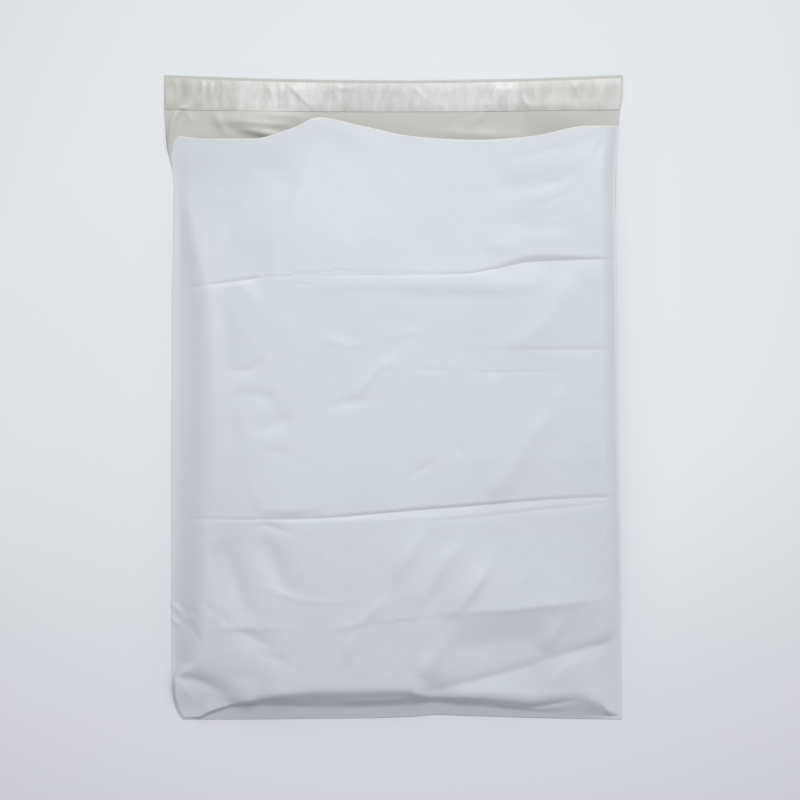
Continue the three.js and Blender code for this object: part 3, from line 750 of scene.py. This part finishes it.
# The release liner is a strip of thin milky film laid over the glue for nearly the bag's full width. It
# holds on by the glue alone, so it stands off it in upright crinkles that catch the light. Thirteen streaks
# are placed one by one, and the crinkles between them are left to chance.
LINER_THICKNESS = 0.12
LINER_STREAK_SHARE = 0.9
LINER_STAND = 0.35
LINER_CLEARANCE = 0.03
LINER_STREAKS = [
    ([(-87, 253.5, -0.5), (-77, 243, -1.0), (-66, 232, -0.6)], 7, 1.3, 1.3),
    ([(84, 253.5, -0.5), (79.5, 243, -1.0), (72, 230.5, -0.8)], 8, 1.3, 1.3),
    ([(93, 253.5, -0.4), (88.5, 246, -0.8), (83, 237, -0.3)], 6, 1.2, 1.3),
    ([(-91.5, 252, -0.3), (-91, 243, -0.6), (-92, 233, -0.3)], 4, 1.1, 1.3),
    ([(-85, 247, -0.2), (-84.5, 240, -0.5), (-85, 233, -0.3)], 3, 1.1, 1.3),
    ([(-153, 253, -0.7), (-154, 244, -1.1), (-157, 236, -0.6)], 1.4, 2.2, 1.4),
    ([(-146, 253, -0.8), (-147, 244, -1.2), (-148, 236, -0.4)], 1.6, 2.6, 1.4),
    ([(-139, 251, 0.3), (-139.5, 244, 0.5), (-141, 236, 0.3)], 2.4, 2.4, 1.4),
    ([(-101, 251, -0.3), (-98, 243, -0.6), (-96, 234, -0.4)], 3, 1.6, 1.4),
    ([(145, 252, -0.5), (146, 248, -0.6), (147, 244, -0.2)], 1.6, 2.0, 1.4),
    ([(104, 240, -0.5), (106, 236, -0.7), (109, 233, -0.4)], 2.0, 1.6, 1.4),
    ([(18, 248, -0.2), (22, 243.5, -0.5), (25, 240, -0.2)], 1.8, 2.2, 1.4),
    ([(-46, 249.5, -0.4), (-40, 248.5, -0.5), (-33, 249, -0.2)], 1.6, 1.6, 1.4),
]
liner_lift_at = curve_through([(-1, 0.02), (-0.93, 0.03), (-0.85, 0.3), (-0.76, 0.35), (-0.66, 0.9),
                               (-0.45, 1), (-0.33, 0.8), (-0.2, 0.9), (-0.08, 0.45), (0.12, 0.5),
                               (0.3, 0.95), (0.5, 1), (0.6, 0.8), (0.68, 0.4), (0.8, 0.75), (0.95, 0.8),
                               (1, 0.4)])


def crinkle_at(x, y, across, along, seed):
    """Sharp upright crinkles, from 0 to 1: the creases of chance noise, stretched along the width."""
    lean = 0.35 * np.sin(x / 47.0 + seed)
    found = slack_at((x + lean * (y - 240)) / across, y / along, 1.0, seed)
    return np.clip(1 - 2.6 * np.abs(found), 0, 1)


# The liner stands off the glue by its crinkles, which ease away to its edges, and its edges come
# down on the flap beside the glue.
liner_x, liner_y, liner_place = strip_grid(430, 26, 0.0)
stand_off = 0.15 * crinkle_at(liner_x, liner_y, 13.0, 26.0, 2.5) ** 1.5
stand_off += 0.07 * crinkle_at(liner_x, liner_y, 4.5, 16.0, 6.5)
stand_off *= liner_lift_at(liner_place)
stand_off += np.maximum(LINER_STAND - LINER_STREAK_SHARE * relief(liner_x, liner_y, LINER_STREAKS), 0.0)
from_edge = np.minimum(liner_y - liner_y[-1], liner_y[0] - liner_y)
stand_off = np.maximum(stand_off, 0.02) * np.clip(0.1 + from_edge / 6, 0, 1)
liner_foot = flap_height(liner_x, liner_y) + LINER_THICKNESS / 2
liner_foot += GLUE_THICKNESS * np.clip((from_edge + 0.6) / 3.0, 0, 1)
liner_z = liner_foot + LINER_CLEARANCE + stand_off
liner = film_sheet("release_liner_film", liner_x, liner_y, liner_z, liner_x, liner_y)
liner_wall = liner.modifiers.new("liner_thickness", "SOLIDIFY")
liner_wall.thickness = LINER_THICKNESS * MM
liner_wall.offset = 0.0

liner_material = bpy.data.materials.new("liner_film")
liner_material.use_nodes = True
liner_nodes = liner_material.node_tree.nodes
liner_links = liner_material.node_tree.links
liner_shader = liner_nodes["Principled BSDF"]
liner_shader.inputs["Roughness"].default_value = 0.46
liner_shader.inputs["IOR"].default_value = 1.5
liner_shader.inputs["Coat Weight"].default_value = 0.05
liner_shader.inputs["Coat Roughness"].default_value = 0.12

# Noise squeezed along the strip makes its fine upright streaks, in colour and in bump. Slow stops across the
# width make some stretches of it lighter than others: partly the liner's own milkiness, partly painted
# highlight, as in the light streak near its left end.
liner_coordinates = liner_nodes.new("ShaderNodeTexCoord")
liner_stretch = liner_nodes.new("ShaderNodeMapping")
liner_stretch.inputs["Scale"].default_value = (120.0, 42.0, 1.0)
liner_links.new(liner_coordinates.outputs["Object"], liner_stretch.inputs["Vector"])
liner_cloud = liner_nodes.new("ShaderNodeTexNoise")
liner_cloud.inputs["Scale"].default_value = 1.0
liner_cloud.inputs["Detail"].default_value = 6.0
liner_cloud.inputs["Roughness"].default_value = 0.62
liner_links.new(liner_stretch.outputs["Vector"], liner_cloud.inputs["Vector"])
liner_tint = liner_nodes.new("ShaderNodeValToRGB")
liner_tint.color_ramp.elements[0].position = 0.36
liner_tint.color_ramp.elements[0].color = (0.585, 0.575, 0.56, 1)
liner_tint.color_ramp.elements[1].position = 0.64
liner_tint.color_ramp.elements[1].color = (0.7, 0.695, 0.695, 1)
liner_links.new(liner_cloud.outputs["Fac"], liner_tint.inputs["Fac"])
liner_split = liner_nodes.new("ShaderNodeSeparateXYZ")
liner_links.new(liner_coordinates.outputs["Object"], liner_split.inputs["Vector"])
liner_reach = liner_nodes.new("ShaderNodeMapRange")
liner_reach.inputs["From Min"].default_value = -0.184
liner_reach.inputs["From Max"].default_value = 0.184
liner_links.new(liner_split.outputs["X"], liner_reach.inputs["Value"])
liner_milk_and_highlight = liner_nodes.new("ShaderNodeValToRGB")
liner_milk_and_highlight.color_ramp.elements[0].position = 0.0
liner_milk_and_highlight.color_ramp.elements[0].color = (0.86, 0.85, 0.81, 1)
liner_milk_and_highlight.color_ramp.elements[1].position = 1.0
liner_milk_and_highlight.color_ramp.elements[1].color = (0.97, 0.965, 0.95, 1)
# These stops are partly milkiness and partly painted highlight.
for stop, shade in (
    (0.055, (0.84, 0.83, 0.79)),
    (0.085, (0.97, 0.96, 0.94)),
    (0.12, (0.89, 0.875, 0.85)),
    (0.19, (1.03, 1.03, 1.02)),
    (0.29, (1.07, 1.07, 1.06)),
    (0.38, (0.97, 0.965, 0.96)),
    (0.5, (0.97, 0.965, 0.965)),
    (0.62, (1.07, 1.07, 1.07)),
    (0.74, (1.04, 1.04, 1.04)),
    (0.78, (0.93, 0.925, 0.91)),
    (0.83, (0.86, 0.85, 0.83)),
    (0.91, (0.92, 0.915, 0.9)),
):
    liner_lightness_stop = liner_milk_and_highlight.color_ramp.elements.new(stop)
    liner_lightness_stop.color = (*shade, 1)
liner_links.new(liner_reach.outputs["Result"], liner_milk_and_highlight.inputs["Fac"])
liner_colour = liner_nodes.new("ShaderNodeMix")
liner_colour.data_type = "RGBA"
liner_colour.blend_type = "MULTIPLY"
liner_colour.inputs["Factor"].default_value = 1.0
liner_links.new(liner_tint.outputs["Color"], liner_colour.inputs["A"])
liner_links.new(liner_milk_and_highlight.outputs["Color"], liner_colour.inputs["B"])
liner_links.new(liner_colour.outputs["Result"], liner_shader.inputs["Base Color"])
liner_bump = liner_nodes.new("ShaderNodeBump")
liner_bump.inputs["Strength"].default_value = 0.3
liner_bump.inputs["Distance"].default_value = 0.0006
liner_links.new(liner_cloud.outputs["Fac"], liner_bump.inputs["Height"])
liner_links.new(liner_bump.outputs["Normal"], liner_shader.inputs["Normal"])
liner.data.materials.append(liner_material)
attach(liner, "root")
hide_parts("release_liner")


# The table is a pale sheet with shade painted into its colour. Light comes from beyond the flap, high up, a
# little to the right and soft, and the rest of the room is even and pale.
floor_mesh = bpy.data.meshes.new("table_top")
table = bmesh.new()
bmesh.ops.create_grid(table, x_segments=1, y_segments=1, size=3.0)
table.to_mesh(floor_mesh)
table.free()
floor = bpy.data.objects.new("table_top", floor_mesh)
bpy.context.scene.collection.objects.link(floor)
floor_material = bpy.data.materials.new("table_top")
floor_material.use_nodes = True
floor_nodes = floor_material.node_tree.nodes
floor_links = floor_material.node_tree.links
floor_shader = floor_nodes["Principled BSDF"]
floor_shader.inputs["Roughness"].default_value = 0.7

# Painted shade: the sheet's colour is lightest a little below the bag's middle, darker and more purple
# towards the bottom, darker towards the top, and it dims away from the bag. Close beside the bag, where less
# of the room is open to it, an occlusion node darkens its colour too: a painted contact shadow.
floor_coordinates = floor_nodes.new("ShaderNodeTexCoord")
floor_split = floor_nodes.new("ShaderNodeSeparateXYZ")
floor_reach = floor_nodes.new("ShaderNodeMapRange")
floor_reach.inputs["From Min"].default_value = -0.33
floor_reach.inputs["From Max"].default_value = 0.33
floor_painted_shade_ramp = floor_nodes.new("ShaderNodeValToRGB")
floor_painted_shade_ramp.color_ramp.elements[0].position = 0.0
floor_painted_shade_ramp.color_ramp.elements[0].color = (0.80, 0.79, 0.85, 1)
floor_painted_shade_ramp.color_ramp.elements[1].position = 1.0
floor_painted_shade_ramp.color_ramp.elements[1].color = (0.795, 0.815, 0.845, 1)
floor_middle = floor_painted_shade_ramp.color_ramp.elements.new(0.45)
floor_middle.color = (0.845, 0.86, 0.885, 1)
floor_links.new(floor_coordinates.outputs["Object"], floor_split.inputs["Vector"])
floor_links.new(floor_split.outputs["Y"], floor_reach.inputs["Value"])
floor_links.new(floor_reach.outputs["Result"], floor_painted_shade_ramp.inputs["Fac"])
floor_centre = floor_nodes.new("ShaderNodeVectorMath")
floor_centre.operation = "DISTANCE"
floor_centre.inputs[1].default_value = (-0.05, 0.0, 0.0)
floor_links.new(floor_coordinates.outputs["Object"], floor_centre.inputs[0])
floor_painted_dimming = floor_nodes.new("ShaderNodeMapRange")
floor_painted_dimming.inputs["From Min"].default_value = 0.28
floor_painted_dimming.inputs["From Max"].default_value = 0.5
floor_painted_dimming.inputs["To Min"].default_value = 1.0
floor_painted_dimming.inputs["To Max"].default_value = 0.9
floor_links.new(floor_centre.outputs["Value"], floor_painted_dimming.inputs["Value"])
floor_shade = floor_nodes.new("ShaderNodeVectorMath")
floor_shade.operation = "SCALE"
floor_links.new(floor_painted_shade_ramp.outputs["Color"], floor_shade.inputs[0])
floor_links.new(floor_painted_dimming.outputs["Result"], floor_shade.inputs["Scale"])
# Painted contact shadow: occlusion darkens the table's colour beside the bag.
floor_painted_contact_shadow = floor_nodes.new("ShaderNodeAmbientOcclusion")
floor_painted_contact_shadow.inputs["Distance"].default_value = 0.045
floor_painted_contact_shadow.samples = 12
floor_links.new(floor_shade.outputs["Vector"], floor_painted_contact_shadow.inputs["Color"])
floor_links.new(floor_painted_contact_shadow.outputs["Color"], floor_shader.inputs["Base Color"])
floor.data.materials.append(floor_material)

world = bpy.data.worlds.new("pale_room")
world.use_nodes = True
world.node_tree.nodes["Background"].inputs["Color"].default_value = (1.0, 0.965, 1.0, 1)
world.node_tree.nodes["Background"].inputs["Strength"].default_value = 0.35
bpy.context.scene.world = world

# A lamp the size of a window, aimed at the middle of the bag.
WINDOW_AT = (0.7, 2.35, 2.85)
window_data = bpy.data.lights.new("high_window", "AREA")
window_data.shape = "RECTANGLE"
window_data.size = 1.7
window_data.size_y = 1.3
window_data.energy = 111.0
window_data.color = (0.965, 1.013, 0.995)
window = bpy.data.objects.new("high_window", window_data)
window.location = WINDOW_AT
window.rotation_euler = Vector(WINDOW_AT).to_track_quat("Z", "Y").to_euler()
bpy.context.scene.collection.objects.link(window)

bpy.context.scene.view_settings.view_transform = "Standard"
